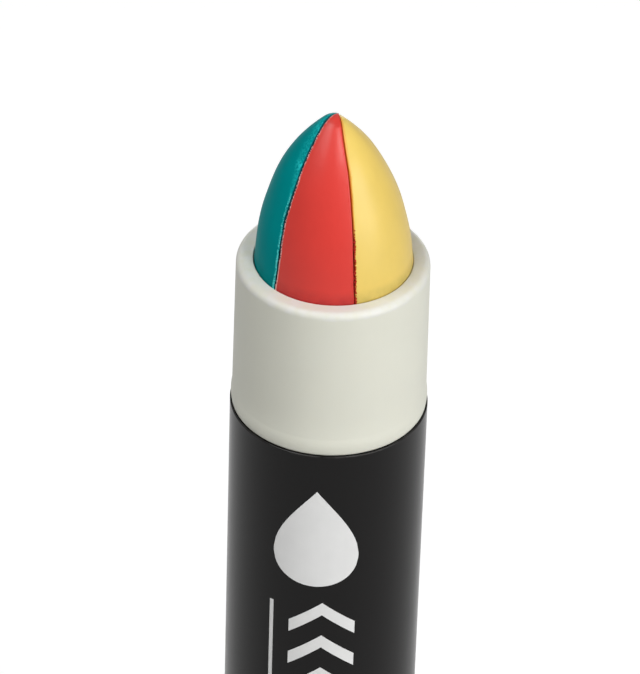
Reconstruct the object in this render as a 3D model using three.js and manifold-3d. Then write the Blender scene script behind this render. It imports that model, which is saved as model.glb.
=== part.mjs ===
// Twist-up solid paint marker, shown uncapped with its paint wound out.
//
// A stick of solid paint, pressed together from three coloured wedges, stands in a carrier cup
// inside a moulded barrel. A lead screw runs up the middle. Turning the knob at the foot turns
// the screw, two sliding keys stop the carrier from turning with it, and so the stick is wound
// out of the neck or back into it. A printed sleeve covers the barrel from the knob to the neck.
//
// Millimetres, +Z up. The origin is the centre of the knob's flat base, and -Y is the front.

import * as THREE from "three";
import { mergeVertices } from "three/addons/utils/BufferGeometryUtils.js";
import Module from "manifold-3d";

const wasm = await Module();
wasm.setup();

// Fineness of the round surfaces, as sides per full circle or steps per arc
const LARGE_SIDES = 64;
const SMALL_SIDES = 36;
const THREAD_SIDES = 18;
const FLUTE_SIDES = 12;
const FLUTE_END_STEPS = 3;
const TIP_FLANK_STEPS = 11;
const TIP_NOSE_STEPS = 3;
const CORNER_STEPS = 4;

// Paint stick
const PAINT_RADIUS = 8.43;
const TIP_HEIGHT = 18.35;
const NOSE_RADIUS = 1.8;
const SEAM_GAP = 0.25;
const SEAM_MEETING_BACK = 0.75;
const FIRST_SEAM_DEG = -131.5;
const RED_WEDGE_DEG = 56.7;
const YELLOW_WEDGE_DEG = 151.6;

// Barrel and its open neck
const PAINT_CLEARANCE = 0.22;
const BARREL_WALL = 1.3;
const NECK_HEIGHT = 18.6;
const NECK_RIM_WALL = 1.77;
const NECK_TAPER = 0.16;
const NECK_BEAD_HEIGHT = 2.1;
const NECK_BEAD_PROUD = 0.12;
const BEAD_EDGE = 0.25;
const RIM_CORNER = 0.6;
const RIM_INNER_EDGE = 0.2;
const BARREL_FOOT_CHAMFER = 0.3;

// Printed sleeve
const SLEEVE_LENGTH = 95;
const SLEEVE_WALL = 0.8;
const SLEEVE_FIT = 0.05;
const SLEEVE_EDGE = 0.15;
const SEAT_GAP = 0.05;

// How far the paint is wound, counted from where it stands here
const FEED_OUT = 32;
const RETRACT_MARGIN = 1.65;
const FEED_IN = TIP_HEIGHT + RETRACT_MARGIN;

// Lead screw, with a single left-hand thread
const LEAD = 5;
const CREST_RADIUS = 3;
const THREAD_DEPTH = 0.8;
const CREST_WIDTH = 1.3;
const FLANK_WIDTH = 0.35;
const THREAD_CLEARANCE = 0.22;
const SCREW_END_CHAMFER = 0.7;
const SCREW_SPARE = 1;
const JOURNAL_RADIUS = 3;
const JOURNAL_CLEARANCE = 0.12;
const FLANGE_RADIUS = 6;
const FLANGE_THICKNESS = 1.5;
const ROOT_LENGTH = 12;
const ROOT_STEP = 0.2;
const ROOT_FIT = 0.08;

// Carrier cup with its threaded stem
const CARRIER_CLEARANCE = 0.3;
const CARRIER_STOP_MARGIN = 1.8;
const CUP_DEPTH = 10;
const CUP_WALL = 1;
const CUP_FLOOR = 2;
const GRIP_RIBS = 9;
const GRIP_RIB_WIDTH = 0.8;
const GRIP_RIB_HEIGHT = 0.3;
const FOOT_FIT = 0.1;
const STEM_WALL = 1.1;
const STEM_FOOT_GAP = 2.4;
const NUT_LENGTH = 8;
const STEM_WEBS = 4;
const WEB_THICKNESS = 1;
const WEB_DROP = 12;
const WEB_EDGE = 1.2;
const STICK_BORE_CLEARANCE = 0.4;
const STICK_BORE_SPARE = 1.5;

// Keys of the carrier and the keyways that they slide in
const KEYS = 3;
const KEYWAY_WIDTH = 2.6;
const KEYWAY_DEPTH = 0.55;
const KEY_CLEARANCE = 0.2;
const KEY_HEIGHT = 5;
const KEYWAY_SPARE = 1;

// Base bearing, pressed into the barrel's foot
const BEARING_SOCKET_DEPTH = 5;
const BEARING_PLATE = 2.2;
const BEARING_HEIGHT = 6;
const BEARING_WALL = 1.2;
const BEARING_FIT = 0.05;
const WASHER_THICKNESS = 0.8;
const WASHER_MARGIN = 0.3;

// Twist knob and the plug that closes its base
const TURNING_GAP = 0.4;
const KNOB_HEIGHT = 14;
const KNOB_WALL = 1.9;
const KNOB_DECK = 2;
const KNOB_EDGE = 0.5;
const FLUTES = 16;
const FLUTE_RADIUS = 1.4;
const FLUTE_DEPTH = 0.6;
const FLUTE_BAND = 1.7;
const BOSS_CLEARANCE = 0.3;
const BOSS_WALL = 1.4;
const BOSS_GAP = 0.4;
const HUB_WALL = 1.7;
const KNOB_WEBS = 6;
const PLUG_DEPTH = 4.6;
const PLUG_RECESS = 0.3;
const PLUG_PLATE = 1.4;
const PLUG_RING_WALL = 1.1;
const PLUG_LEDGE = 0.5;
const PLUG_FIT = 0.08;

// Radii that follow from the sizes above
const boreRadius = PAINT_RADIUS + PAINT_CLEARANCE;
const barrelRadius = boreRadius + BARREL_WALL;
const sleeveRadius = barrelRadius + SLEEVE_FIT + SLEEVE_WALL;
const neckRimRadius = boreRadius + NECK_RIM_WALL;
const neckFootRadius = neckRimRadius + NECK_TAPER;
const beadRadius = neckFootRadius + NECK_BEAD_PROUD;
const keywayRadius = boreRadius + KEYWAY_DEPTH;
const carrierRadius = boreRadius - CARRIER_CLEARANCE;
const cupInnerRadius = carrierRadius - CUP_WALL;
const stickFootRadius = cupInnerRadius - GRIP_RIB_HEIGHT - FOOT_FIT;
const rootThreadRadius = CREST_RADIUS - THREAD_DEPTH;
const stemBoreRadius = CREST_RADIUS + THREAD_CLEARANCE;
const stemRadius = stemBoreRadius + STEM_WALL;
const stickBoreRadius = CREST_RADIUS + STICK_BORE_CLEARANCE;
const hexRadius = JOURNAL_RADIUS - ROOT_STEP;
const journalHoleRadius = JOURNAL_RADIUS + JOURNAL_CLEARANCE;
const knobRadius = sleeveRadius;
const knobInnerRadius = knobRadius - KNOB_WALL;
const hubRadius = hexRadius + ROOT_FIT + HUB_WALL;

// Heights that follow from the sizes above
const barrelFoot = KNOB_HEIGHT + TURNING_GAP;
const sleeveTop = barrelFoot + SLEEVE_LENGTH;
const neckFoot = sleeveTop + SEAT_GAP;
const rimHeight = neckFoot + NECK_HEIGHT;
const plateFoot = barrelFoot + BEARING_SOCKET_DEPTH;
const plateTop = plateFoot + BEARING_PLATE;
const washerFoot = plateTop + SEAT_GAP;
const flangeFoot = washerFoot + WASHER_THICKNESS + SEAT_GAP;
const flangeTop = flangeFoot + FLANGE_THICKNESS;
const bossTop = plateFoot - BOSS_GAP;
const journalFoot = bossTop + SEAT_GAP;
const carrierTop = rimHeight - FEED_OUT - CARRIER_STOP_MARGIN;
const cupFloorTop = carrierTop - CUP_DEPTH;
const cupFloorFoot = cupFloorTop - CUP_FLOOR;
const stemFoot = flangeTop + STEM_FOOT_GAP + FEED_IN;
const screwTop = stemFoot + NUT_LENGTH + FEED_OUT + SCREW_SPARE;
const stickFoot = cupFloorTop + SEAT_GAP;
const stickBoreTop = screwTop + FEED_IN + STICK_BORE_SPARE;
const keywayTop = cupFloorFoot + KEY_HEIGHT + FEED_OUT + KEYWAY_SPARE;

// Finishes: colour, roughness and metalness
const finish = (color, roughness) =>
  new THREE.MeshStandardMaterial({ color, roughness, metalness: 0 });
const shellPlastic = finish(0xdcdcd0, 0.42);
const blackSleeve = finish(0x272424, 0.36);
const mechanismPlastic = finish(0xe9e8e2, 0.5);
const tealPaint = finish(0x0d7478, 0.46);
const redPaint = finish(0xcf3c38, 0.46);
const yellowPaint = finish(0xf0cf70, 0.46);

// Turns a closed geometry into a solid that can be joined and cut
function solid(geometry) {
  const plain = (geometry.index ? geometry.toNonIndexed() : geometry).clone();
  plain.deleteAttribute("normal");
  plain.deleteAttribute("uv");
  const merged = mergeVertices(plain, 1e-4);
  const corners = Array.from(merged.index.array);
  const triVerts = [];
  for (let i = 0; i < corners.length; i += 3) {
    const [a, b, c] = corners.slice(i, i + 3);
    if (a !== b && b !== c && c !== a) triVerts.push(a, b, c);
  }
  const vertProperties = Float32Array.from(merged.attributes.position.array);
  if (enclosedVolume(vertProperties, triVerts) < 0) triVerts.reverse();
  return new wasm.Manifold(new wasm.Mesh({
    numProp: 3, vertProperties, triVerts: Uint32Array.from(triVerts),
  }));
}

// Volume inside a closed mesh, negative where its faces point inwards
function enclosedVolume(positions, triangles) {
  const [a, b, c] = [new THREE.Vector3(), new THREE.Vector3(), new THREE.Vector3()];
  let volume = 0;
  for (let i = 0; i < triangles.length; i += 3) {
    a.fromArray(positions, 3 * triangles[i]);
    b.fromArray(positions, 3 * triangles[i + 1]);
    c.fromArray(positions, 3 * triangles[i + 2]);
    volume += a.dot(b.cross(c)) / 6;
  }
  return volume;
}

// A named mesh from a finished solid
function piece(name, body, material) {
  const { vertProperties, triVerts } = body.getMesh();
  const geometry = new THREE.BufferGeometry();
  geometry.setAttribute("position", new THREE.BufferAttribute(vertProperties, 3));
  geometry.setIndex(new THREE.BufferAttribute(triVerts, 1));
  geometry.computeVertexNormals();
  const mesh = new THREE.Mesh(geometry, material);
  mesh.name = name;
  return mesh;
}

// A profile of [radius, height] points turned about the Z axis
function turned(profile, sides) {
  const points = profile.map(([radius, height]) => new THREE.Vector2(radius, height));
  return solid(new THREE.LatheGeometry(points, sides).rotateX(Math.PI / 2));
}

// A ring of rectangular section
function ring(innerRadius, outerRadius, foot, top, sides) {
  return turned([
    [innerRadius, foot], [outerRadius, foot], [outerRadius, top], [innerRadius, top],
    [innerRadius, foot],
  ], sides);
}

// A full round bar
function bar(radius, foot, top, sides) {
  return turned([[0, foot], [radius, foot], [radius, top], [0, top]], sides);
}

// A block that reaches from one radius to another, at an angle about the Z axis
function block(innerRadius, outerRadius, width, foot, top, angle) {
  const box = new THREE.BoxGeometry(outerRadius - innerRadius, width, top - foot);
  box.translate((innerRadius + outerRadius) / 2, 0, (foot + top) / 2);
  return solid(box.rotateZ(angle));
}

// The angles of equally spaced copies about the Z axis
function spread(count, firstDeg = 0) {
  const first = THREE.MathUtils.degToRad(firstDeg);
  return Array.from({ length: count }, (_, i) => first + (2 * Math.PI * i) / count);
}

// Points of an arc in a profile, from one direction to another
function arc(centre, radius, fromDeg, toDeg, steps) {
  return Array.from({ length: steps + 1 }, (_, i) => {
    const angle = THREE.MathUtils.degToRad(fromDeg + ((toDeg - fromDeg) * i) / steps);
    return [centre[0] + radius * Math.cos(angle), centre[1] + radius * Math.sin(angle)];
  });
}

// Points of a thread section carried along a left-hand helix, step by step from the foot
function helixPoints(section, foot, steps) {
  const points = [];
  for (let i = 0; i <= steps; i += 1) {
    const turn = i / THREAD_SIDES;
    const angle = -2 * Math.PI * turn;
    for (const [radius, offset] of section) {
      const height = foot + LEAD * turn + offset;
      points.push([radius * Math.cos(angle), radius * Math.sin(angle), height]);
    }
  }
  return points;
}

// How many steps of the helix take it from one height past another
function helixSteps(foot, top) {
  return Math.ceil(((top - foot) / LEAD) * THREAD_SIDES);
}

// A trapezoid: widths at two radii, as [radius, offset along the axis] from the foot upwards
function threadSection(baseRadius, baseWidth, tipRadius, tipWidth) {
  return [
    [baseRadius, -baseWidth / 2], [tipRadius, -tipWidth / 2],
    [tipRadius, tipWidth / 2], [baseRadius, baseWidth / 2],
  ];
}

// A closed mesh from corner points and triangles
function meshed(points, index) {
  const geometry = new THREE.BufferGeometry();
  geometry.setAttribute("position", new THREE.Float32BufferAttribute(points.flat(), 3));
  geometry.setIndex(index);
  return solid(geometry);
}

// A thread ridge by itself, closed all round, for the nut
function threadRidge(section, foot, top) {
  const steps = helixSteps(foot, top);
  const sides = section.length;
  const index = [0, 1, 2, 0, 2, 3];
  for (let i = 0; i < steps; i += 1) {
    for (let j = 0; j < sides; j += 1) {
      const [a, b] = [sides * i + j, sides * i + ((j + 1) % sides)];
      index.push(a, a + sides, b, b, a + sides, b + sides);
    }
  }
  const end = sides * steps;
  index.push(end, end + 2, end + 1, end, end + 3, end + 2);
  return meshed(helixPoints(section, foot, steps), index);
}

// A solid threaded rod. Each turn's ridge is joined to the next by the root between them, and
// each end is closed by a fan to the axis.
function threadedRod(section, foot, top) {
  const steps = helixSteps(foot, top);
  const sides = section.length;
  const turn = sides * THREAD_SIDES;
  const last = sides - 1;
  const points = helixPoints(section, foot, steps);
  const index = [];
  const quad = (a, b, c, d) => index.push(a, b, c, a, c, d);
  for (let i = 0; i < steps; i += 1) {
    const a = sides * i;
    for (let j = 0; j < last; j += 1) quad(a + j, a + sides + j, a + sides + j + 1, a + j + 1);
    if (i < steps - THREAD_SIDES) {
      quad(a + last, a + last + sides, a + turn + sides, a + turn);
    }
  }
  const footLoop = [last - 1, last - 2, 0];
  for (let i = 1; i <= THREAD_SIDES; i += 1) footLoop.push(sides * i);
  footLoop.push(last);
  const topEnd = sides * steps;
  const topLoop = [topEnd + 1, topEnd + 2];
  for (let i = 0; i <= THREAD_SIDES; i += 1) topLoop.push(topEnd + last - sides * i);
  topLoop.push(topEnd);
  const fan = (loop, height) => {
    const centre = points.push([0, 0, height]) - 1;
    loop.forEach((corner, i) => index.push(centre, loop[(i + 1) % loop.length], corner));
  };
  fan(footLoop, foot - LEAD);
  fan(topLoop, foot + (LEAD * steps) / THREAD_SIDES + LEAD);
  return meshed(points, index);
}

// Outline of the paint's pointed end: a long flank arc that runs smoothly into a round nose
function tipProfile() {
  const noseRise = TIP_HEIGHT - NOSE_RADIUS;
  const flankRadius = (PAINT_RADIUS ** 2 + noseRise ** 2 - NOSE_RADIUS ** 2)
    / (2 * (PAINT_RADIUS - NOSE_RADIUS));
  const meeting = THREE.MathUtils.radToDeg(Math.atan2(noseRise, flankRadius - PAINT_RADIUS));
  return [
    ...arc([PAINT_RADIUS - flankRadius, rimHeight], flankRadius, 0, meeting, TIP_FLANK_STEPS),
    ...arc([0, rimHeight + noseRise], NOSE_RADIUS, meeting, 90, TIP_NOSE_STEPS).slice(1, -1),
    [0, rimHeight + TIP_HEIGHT],
  ];
}

// The whole stick, with the foot that stands in the cup and the bore that clears the screw
function paintStick() {
  const shoulder = carrierTop + SEAT_GAP;
  return turned([
    [stickBoreRadius, stickFoot],
    [stickFootRadius, stickFoot],
    [stickFootRadius, shoulder],
    [PAINT_RADIUS, shoulder],
    ...tipProfile(),
    [0, stickBoreTop + stickBoreRadius / 2],
    [stickBoreRadius, stickBoreTop],
    [stickBoreRadius, stickFoot],
  ], LARGE_SIDES);
}

// The part of the stick between two seams, which is always less than half of it. The three
// seams meet a little behind the axis, so the point of the stick is all in the front wedge.
function paintWedge(fromDeg, widthDeg) {
  const reach = 2 * PAINT_RADIUS;
  const keepBeyond = (angleDeg, side) => {
    const half = new THREE.BoxGeometry(2 * reach, reach, 2 * rimHeight);
    half.translate(0, side * (reach + SEAM_GAP) / 2, rimHeight);
    half.rotateZ(THREE.MathUtils.degToRad(angleDeg));
    return solid(half.translate(0, SEAM_MEETING_BACK, 0));
  };
  return paintStick()
    .intersect(keepBeyond(fromDeg, 1))
    .intersect(keepBeyond(fromDeg + widthDeg, -1));
}

// The off-white moulding: a long tube under the sleeve, and the neck that shows above it
function barrel() {
  const beadTop = neckFoot + NECK_BEAD_HEIGHT;
  const tube = turned([
    [boreRadius + BARREL_FOOT_CHAMFER, barrelFoot],
    [barrelRadius - BARREL_FOOT_CHAMFER, barrelFoot],
    [barrelRadius, barrelFoot + BARREL_FOOT_CHAMFER],
    [barrelRadius, neckFoot],
    [beadRadius - BEAD_EDGE / 2, neckFoot],
    [beadRadius, neckFoot + BEAD_EDGE],
    [beadRadius, beadTop - BEAD_EDGE],
    [neckFootRadius, beadTop],
    ...arc([neckRimRadius - RIM_CORNER, rimHeight - RIM_CORNER], RIM_CORNER, 0, 90, CORNER_STEPS),
    [boreRadius + RIM_INNER_EDGE, rimHeight],
    [boreRadius, rimHeight - RIM_INNER_EDGE],
    [boreRadius, barrelFoot + BARREL_FOOT_CHAMFER],
    [boreRadius + BARREL_FOOT_CHAMFER, barrelFoot],
  ], LARGE_SIDES);
  const keyways = spread(KEYS).map((angle) => block(
    boreRadius / 2, keywayRadius, KEYWAY_WIDTH, barrelFoot - BARREL_WALL, keywayTop, angle,
  ));
  return tube.subtract(wasm.Manifold.union(keyways));
}

// The printed outer sleeve, slid on from below up to the shoulder under the neck
function outerSleeve() {
  const inner = barrelRadius + SLEEVE_FIT;
  return turned([
    [inner, barrelFoot],
    [sleeveRadius - SLEEVE_EDGE, barrelFoot],
    [sleeveRadius, barrelFoot + SLEEVE_EDGE],
    [sleeveRadius, sleeveTop - SLEEVE_EDGE],
    [sleeveRadius - SLEEVE_EDGE, sleeveTop],
    [inner, sleeveTop],
    [inner, barrelFoot],
  ], LARGE_SIDES);
}

// The bearing that closes the barrel's foot. Its keys sit in the ends of the keyways.
function baseBearing() {
  const outer = boreRadius - BEARING_FIT;
  const top = plateFoot + BEARING_HEIGHT;
  const cup = turned([
    [journalHoleRadius, plateFoot],
    [outer, plateFoot],
    [outer, top],
    [outer - BEARING_WALL, top],
    [outer - BEARING_WALL, plateTop],
    [journalHoleRadius, plateTop],
    [journalHoleRadius, plateFoot],
  ], LARGE_SIDES);
  const keys = spread(KEYS).map((angle) => block(
    outer - BEARING_WALL / 2, keywayRadius - KEY_CLEARANCE,
    KEYWAY_WIDTH - 2 * KEY_CLEARANCE, plateFoot, top, angle,
  ));
  return wasm.Manifold.union([cup, ...keys]);
}

// The slip washer that the screw's flange turns on
function thrustWasher() {
  return ring(
    journalHoleRadius + WASHER_MARGIN, FLANGE_RADIUS, washerFoot,
    washerFoot + WASHER_THICKNESS, SMALL_SIDES,
  );
}

// The lead screw: hexagonal root, journal, thrust flange and thread, from the foot upwards
function leadScrew() {
  const section = threadSection(
    rootThreadRadius, CREST_WIDTH + 2 * FLANK_WIDTH, CREST_RADIUS, CREST_WIDTH,
  );
  const rod = threadedRod(section, flangeFoot - 2 * LEAD, screwTop + 2 * LEAD);
  const envelope = turned([
    [0, flangeFoot],
    [CREST_RADIUS + THREAD_CLEARANCE, flangeFoot],
    [CREST_RADIUS + THREAD_CLEARANCE, screwTop - SCREW_END_CHAMFER - THREAD_CLEARANCE],
    [CREST_RADIUS - SCREW_END_CHAMFER, screwTop],
    [0, screwTop],
  ], SMALL_SIDES);
  const hex = bar(hexRadius, journalFoot - ROOT_LENGTH, flangeFoot, 6);
  const journal = bar(JOURNAL_RADIUS, journalFoot, flangeTop, SMALL_SIDES);
  const flange = bar(FLANGE_RADIUS, flangeFoot, flangeTop, SMALL_SIDES);
  return wasm.Manifold.union([rod.intersect(envelope), flange, journal, hex]);
}

// The carrier: a cup that grips the stick's foot, on a webbed stem with the nut at its end
function carrierCup() {
  const cup = turned([
    [stemBoreRadius, stemFoot],
    [stemRadius, stemFoot],
    [stemRadius, cupFloorFoot],
    [carrierRadius, cupFloorFoot],
    [carrierRadius, carrierTop],
    [cupInnerRadius, carrierTop],
    [cupInnerRadius, cupFloorTop],
    [stemBoreRadius, cupFloorTop],
    [stemBoreRadius, stemFoot],
  ], SMALL_SIDES);
  const keys = spread(KEYS).map((angle) => block(
    carrierRadius - CUP_WALL / 2, keywayRadius - KEY_CLEARANCE,
    KEYWAY_WIDTH - 2 * KEY_CLEARANCE, cupFloorFoot, cupFloorFoot + KEY_HEIGHT, angle,
  ));
  const ribs = spread(GRIP_RIBS).map((angle) => block(
    cupInnerRadius - GRIP_RIB_HEIGHT, cupInnerRadius + CUP_WALL / 2,
    GRIP_RIB_WIDTH, cupFloorTop - CUP_FLOOR / 2, carrierTop, angle,
  ));
  const webs = spread(STEM_WEBS).map(stemWeb);
  return wasm.Manifold.union([cup, nutRidge(), ...keys, ...ribs, ...webs]);
}

// The nut: a ridge inside the stem's foot that runs in the screw's groove
function nutRidge() {
  const grooveAtRoot = LEAD - CREST_WIDTH - 2 * FLANK_WIDTH;
  const slope = (2 * FLANK_WIDTH) / THREAD_DEPTH;
  const tipWidth = grooveAtRoot + (slope - 2) * THREAD_CLEARANCE;
  const tipRadius = rootThreadRadius + THREAD_CLEARANCE;
  const baseRadius = stemBoreRadius + STEM_WALL / 2;
  const baseWidth = tipWidth + slope * (baseRadius - tipRadius);
  const grooveFoot = flangeFoot - LEAD / 2;
  const turnsUp = Math.floor((stemFoot - grooveFoot) / LEAD) - 1;
  const ridge = threadRidge(
    threadSection(baseRadius, baseWidth, tipRadius, tipWidth),
    grooveFoot + LEAD * turnsUp, stemFoot + NUT_LENGTH + LEAD,
  );
  return ridge.intersect(bar(
    stemRadius, stemFoot, stemFoot + NUT_LENGTH, THREAD_SIDES,
  ));
}

// One triangular web between the stem and the underside of the cup
function stemWeb(angle) {
  const reach = carrierRadius - WEB_EDGE;
  const inner = stemRadius - STEM_WALL / 2;
  const outline = new THREE.Shape([
    new THREE.Vector2(inner, cupFloorFoot - WEB_DROP),
    new THREE.Vector2(stemRadius, cupFloorFoot - WEB_DROP),
    new THREE.Vector2(reach, cupFloorFoot - WEB_EDGE),
    new THREE.Vector2(reach, cupFloorFoot + CUP_FLOOR / 2),
    new THREE.Vector2(inner, cupFloorFoot + CUP_FLOOR / 2),
  ]);
  const web = new THREE.ExtrudeGeometry(outline, { depth: WEB_THICKNESS, bevelEnabled: false });
  web.translate(0, 0, -WEB_THICKNESS / 2);
  return solid(web.rotateX(Math.PI / 2).rotateZ(angle + Math.PI / STEM_WEBS));
}

// The fluted knob: outer wall and deck, boss in the barrel's foot, hub with a hexagonal socket
function twistKnob() {
  const deckFoot = KNOB_HEIGHT - KNOB_DECK;
  const ledge = PLUG_DEPTH + SEAT_GAP;
  const upperInner = knobInnerRadius - PLUG_LEDGE;
  const shell = turned([
    [knobInnerRadius, 0],
    [knobRadius - KNOB_EDGE, 0],
    [knobRadius, KNOB_EDGE],
    [knobRadius, KNOB_HEIGHT - KNOB_EDGE / 2],
    [knobRadius - KNOB_EDGE / 2, KNOB_HEIGHT],
    [hexRadius, KNOB_HEIGHT],
    [hexRadius, deckFoot],
    [upperInner, deckFoot],
    [upperInner, ledge],
    [knobInnerRadius, ledge],
    [knobInnerRadius, 0],
  ], LARGE_SIDES);
  const bossRadius = boreRadius - BOSS_CLEARANCE;
  const boss = ring(bossRadius - BOSS_WALL, bossRadius, deckFoot, bossTop, LARGE_SIDES);
  const hubFoot = journalFoot - ROOT_LENGTH;
  const hub = bar(hubRadius, hubFoot, bossTop, SMALL_SIDES);
  const webs = spread(KNOB_WEBS).map((angle) => block(
    hexRadius, upperInner + PLUG_LEDGE, WEB_THICKNESS, hubFoot, deckFoot + KNOB_DECK / 2, angle,
  ));
  const socket = bar(hexRadius + ROOT_FIT, hubFoot - HUB_WALL, bossTop + HUB_WALL, 6);
  const flutes = spread(FLUTES).map(flute);
  return wasm.Manifold.union([shell, boss, hub, ...webs])
    .subtract(socket)
    .subtract(wasm.Manifold.union(flutes));
}

// One finger flute in the knob's side, with round ends
function flute(angle) {
  const centre = knobRadius - FLUTE_DEPTH + FLUTE_RADIUS;
  const length = KNOB_HEIGHT - 2 * FLUTE_BAND - 2 * FLUTE_RADIUS;
  const groove = new THREE.CapsuleGeometry(FLUTE_RADIUS, length, FLUTE_END_STEPS, FLUTE_SIDES);
  groove.rotateX(Math.PI / 2).translate(centre, 0, KNOB_HEIGHT / 2);
  return solid(groove.rotateZ(angle));
}

// The plug pushed into the knob's open base
function knobPlug() {
  const outer = knobInnerRadius - PLUG_FIT;
  const plateInside = PLUG_RECESS + PLUG_PLATE;
  return turned([
    [0, PLUG_RECESS],
    [outer - PLUG_FIT, PLUG_RECESS],
    [outer, PLUG_RECESS + PLUG_FIT],
    [outer, PLUG_DEPTH],
    [outer - PLUG_RING_WALL, PLUG_DEPTH],
    [outer - PLUG_RING_WALL, plateInside],
    [0, plateInside],
  ], LARGE_SIDES);
}

// The whole marker
function marker() {
  const yellowFrom = FIRST_SEAM_DEG + RED_WEDGE_DEG;
  const tealFrom = yellowFrom + YELLOW_WEDGE_DEG;
  const tealWidth = 360 - RED_WEDGE_DEG - YELLOW_WEDGE_DEG;
  const body = new THREE.Group();
  body.add(
    piece("barrel", barrel(), shellPlastic),
    piece("outer_sleeve", outerSleeve(), blackSleeve),
    piece("base_bearing", baseBearing(), mechanismPlastic),
    piece("thrust_washer", thrustWasher(), mechanismPlastic),
  );
  const feed = new THREE.Group();
  feed.add(
    piece("carrier_cup", carrierCup(), mechanismPlastic),
    piece("red_paint", paintWedge(FIRST_SEAM_DEG, RED_WEDGE_DEG), redPaint),
    piece("yellow_paint", paintWedge(yellowFrom, YELLOW_WEDGE_DEG), yellowPaint),
    piece("teal_paint", paintWedge(tealFrom, tealWidth), tealPaint),
  );
  const knob = new THREE.Group();
  knob.add(
    piece("twist_knob", twistKnob(), shellPlastic),
    piece("knob_plug", knobPlug(), shellPlastic),
    piece("lead_screw", leadScrew(), mechanismPlastic),
  );
  return new THREE.Group().add(body, feed, knob);
}

export default marker();
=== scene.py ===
# %% [markdown]
# A twist-up solid paint marker, seen from the front and above with its cap off. The construction
# model is loaded first and stays as it is. The cells below build the fine surface of each piece at
# the place that this model gives, say what the piece rides on, and in the end give it a finish.

# %% Load the fixed frame
import math
from collections import namedtuple

import bmesh
import bpy
import numpy as np
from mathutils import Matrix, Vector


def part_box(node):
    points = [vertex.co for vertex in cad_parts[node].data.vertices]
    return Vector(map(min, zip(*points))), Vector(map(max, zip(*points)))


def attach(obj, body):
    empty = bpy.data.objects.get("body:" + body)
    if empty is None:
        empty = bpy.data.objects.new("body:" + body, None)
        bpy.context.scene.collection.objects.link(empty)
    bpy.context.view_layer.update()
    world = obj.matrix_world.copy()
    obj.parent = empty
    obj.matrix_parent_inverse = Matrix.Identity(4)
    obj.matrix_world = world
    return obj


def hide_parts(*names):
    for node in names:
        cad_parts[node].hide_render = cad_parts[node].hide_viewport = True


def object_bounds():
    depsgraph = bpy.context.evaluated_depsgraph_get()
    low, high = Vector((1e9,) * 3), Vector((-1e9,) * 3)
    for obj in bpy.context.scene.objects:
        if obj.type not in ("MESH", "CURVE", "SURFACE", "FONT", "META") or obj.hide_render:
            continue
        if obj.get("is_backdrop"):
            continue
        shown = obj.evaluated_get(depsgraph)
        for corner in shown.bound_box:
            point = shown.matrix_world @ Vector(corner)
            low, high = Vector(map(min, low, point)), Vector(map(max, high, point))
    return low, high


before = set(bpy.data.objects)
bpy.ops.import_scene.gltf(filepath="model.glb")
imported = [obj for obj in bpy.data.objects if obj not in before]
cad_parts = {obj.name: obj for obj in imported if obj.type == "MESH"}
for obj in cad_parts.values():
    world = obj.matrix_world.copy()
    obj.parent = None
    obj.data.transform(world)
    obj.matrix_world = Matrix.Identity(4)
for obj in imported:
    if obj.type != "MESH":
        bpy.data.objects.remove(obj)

cad_box = [list(corner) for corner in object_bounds()]
print("nodes:", ", ".join(sorted(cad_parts)))

# %% [markdown]
# The places of the pieces come from the boxes of their nodes. A drawing of a marker is in
# millimetres, so the outlines below are too, and one scale turns them into metres as each mesh is
# made.

# %% Heights and radii that the frame gives
MM = 0.001
SEAT_GAP = 0.05
TINY = 1e-6


def extent(node):
    """Radius, foot and top of a node that stands on the axis, in millimetres."""
    low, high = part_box(node)
    return high[0] / MM, low[2] / MM, high[2] / MM


bead_radius, barrel_foot, rim_height = extent("barrel")
sleeve_radius, sleeve_foot, sleeve_top = extent("outer_sleeve")
_, stick_foot, tip_height = extent("red_paint")
stick_radius = -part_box("teal_paint")[0][0] / MM
_, _, carrier_top = extent("carrier_cup")
knob_radius, _, boss_top = extent("twist_knob")
plug_radius, plug_foot, plug_top = extent("knob_plug")
_, socket_foot, _ = extent("lead_screw")
print(f"rim at {rim_height:.2f} mm, tip at {tip_height:.2f} mm, "
      f"stick {2 * stick_radius:.2f} mm wide")

# %% [markdown]
# Nearly every piece of a marker is turned or extruded, so one helper makes them all. It joins
# closed loops of points, merges points that fall together, such as those on the axis, and turns
# the faces outwards. It prints the open edges, because they would show in a printed or baked
# model.

# %% Helper: a closed surface from loops of points
MERGE_DISTANCE = 0.0002
SHARP_ANGLE = math.radians(38)


def add_object(name, data):
    """Puts a mesh, lamp or camera into the scene as an object."""
    thing = bpy.data.objects.new(name, data)
    bpy.context.scene.collection.objects.link(thing)
    return thing


def surface(name, points, faces, masks=None):
    """A mesh object from points in millimetres, smooth apart from its sharp edges. Masks are
    values for each point."""
    mesh = bpy.data.meshes.new(name)
    mesh.from_pydata((points * MM).tolist(), [], faces)
    for mask, values in (masks or {}).items():
        attribute = mesh.attributes.new(mask, "FLOAT", "POINT")
        attribute.data.foreach_set("value", np.asarray(values, np.float32).ravel())
    work = bmesh.new()
    work.from_mesh(mesh)
    bmesh.ops.remove_doubles(work, verts=work.verts, dist=MERGE_DISTANCE * MM)
    loose = [edge for edge in work.edges if not edge.link_faces]
    bmesh.ops.delete(work, geom=loose, context="EDGES")
    bmesh.ops.recalc_face_normals(work, faces=work.faces)
    open_edges = sum(not edge.is_manifold for edge in work.edges)
    work.to_mesh(mesh)
    work.free()
    mesh.shade_smooth()
    mesh.set_sharp_from_angle(angle=SHARP_ANGLE)
    print(f"{mesh.name}: {len(mesh.polygons)} faces, {open_edges} open edges")
    return add_object(name, mesh)


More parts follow.
